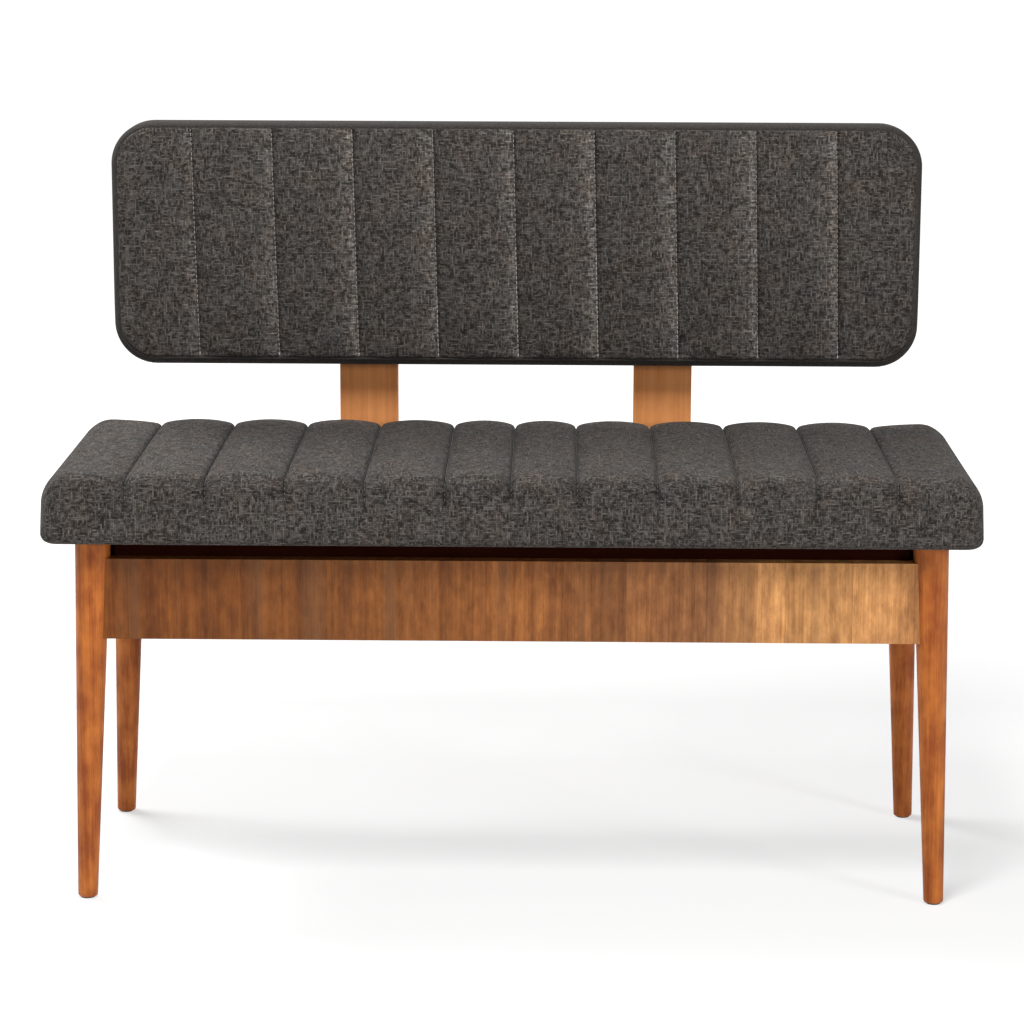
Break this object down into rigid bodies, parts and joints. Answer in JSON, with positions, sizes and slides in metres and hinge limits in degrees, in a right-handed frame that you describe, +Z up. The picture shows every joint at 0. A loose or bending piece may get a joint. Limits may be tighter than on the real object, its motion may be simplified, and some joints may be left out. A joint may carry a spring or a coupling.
{
  "type": "dining bench",
  "caption": "Upholstered dining bench: quilted seat and rounded quilted backrest on flat posts, apron frame, splayed tapered wooden legs.",
  "frame": {"origin": "on the floor, below the middle of the bench's box", "axes": "+X along the bench, to the right as seen from the front, +Y from the front to the back, +Z up"},
  "size_m": [1.05, 0.3964, 0.858],
  "materials": {
    "upholstery": "matte",
    "foam": "matte",
    "lining": "matte",
    "plywood": "matte",
    "leg_wood": "satin",
    "apron_wood": "satin",
    "post_wood": "satin",
    "frame_wood": "matte",
    "batten_wood": "matte",
    "plated_steel": "satin",
    "bolt_steel": "satin",
    "glide_plastic": "matte"
  },
  "bodies": {
    "root": {"seat_cover": "upholstery", "seat_foam": "foam", "seat_board": "plywood", "seat_lining": "lining", "leg_front_left": "leg_wood", "leg_front_right": "leg_wood", "leg_rear_left": "leg_wood", "leg_rear_right": "leg_wood", "foot_glides": "glide_plastic", "apron_front": "apron_wood", "apron_rear": "apron_wood", "apron_left": "apron_wood", "apron_right": "apron_wood", "centre_rail": "frame_wood", "frame_dowels": "frame_wood", "seat_batten_front": "batten_wood", "seat_batten_rear": "batten_wood", "seat_batten_left": "batten_wood", "seat_batten_right": "batten_wood", "batten_screws": "plated_steel", "seat_screws": "plated_steel", "corner_brackets": "plated_steel", "bracket_screws": "plated_steel", "hanger_bolts": "plated_steel", "hanger_washers": "plated_steel", "hanger_nuts": "plated_steel", "backrest_post_left": "post_wood", "backrest_post_right": "post_wood", "post_bolts": "bolt_steel", "post_washers": "plated_steel", "post_nuts": "plated_steel", "back_cover": "upholstery", "back_foam": "foam", "back_board": "plywood", "back_panel": "upholstery", "back_bolts": "bolt_steel", "back_tee_nuts": "plated_steel"}
  },
  "joints": []
}
